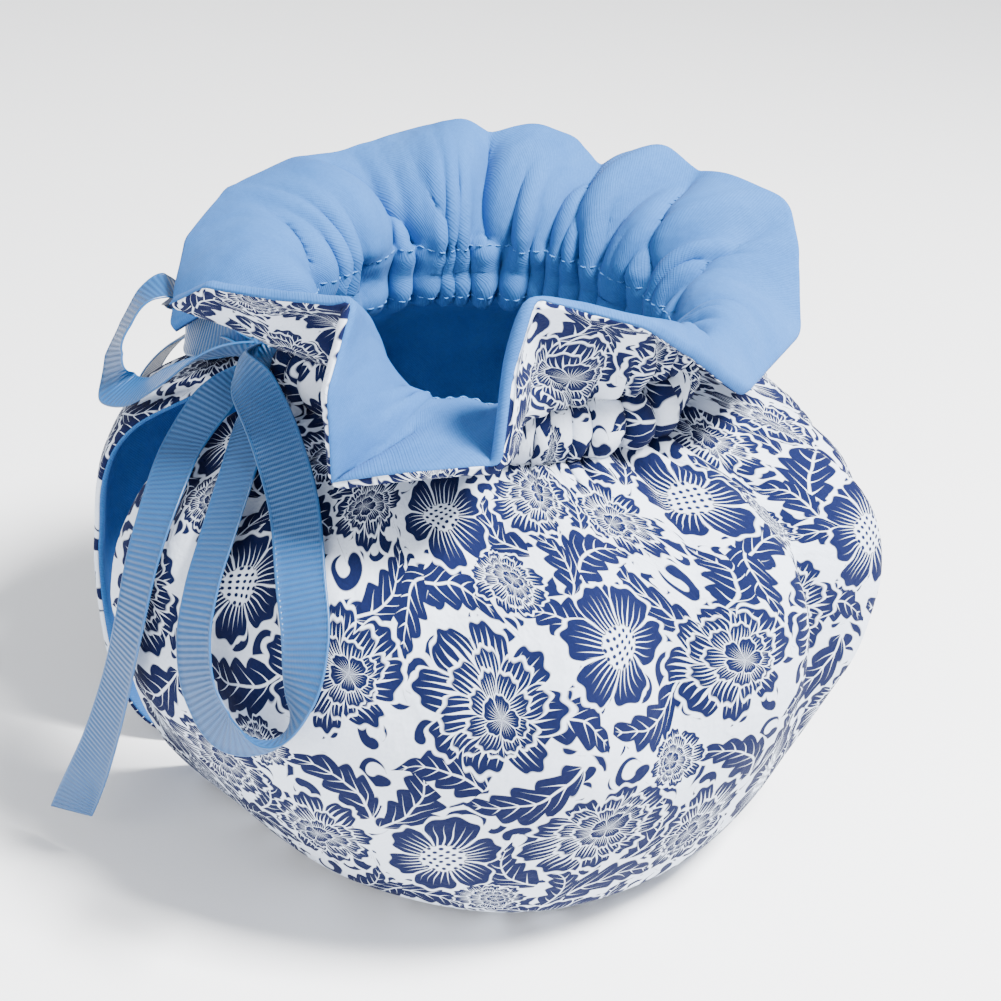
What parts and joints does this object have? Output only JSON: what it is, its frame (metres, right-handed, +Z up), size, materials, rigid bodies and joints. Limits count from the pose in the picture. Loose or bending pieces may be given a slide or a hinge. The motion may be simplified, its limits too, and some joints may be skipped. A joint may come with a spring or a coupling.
{
  "type": "tea cosy",
  "caption": "Fitted tea cosy of printed cotton with a plain lining: gathered neck, wide frilled collar, spout and handle slits and a ribbon tied in a bow.",
  "frame": {"origin": "middle of the footprint's bounding box, on the surface the hem rests on", "axes": "+Z up, +X towards the spout slit, -X towards the handle slit with the ribbon tie"},
  "size_m": [0.1844, 0.1776, 0.1361],
  "materials": {
    "print_cotton": "matte",
    "blue_lining": "matte",
    "grosgrain_ribbon": "satin"
  },
  "bodies": {
    "root": {"outer_cloth": "print_cotton", "lining": "blue_lining", "ribbon_tie": "grosgrain_ribbon"}
  },
  "joints": []
}
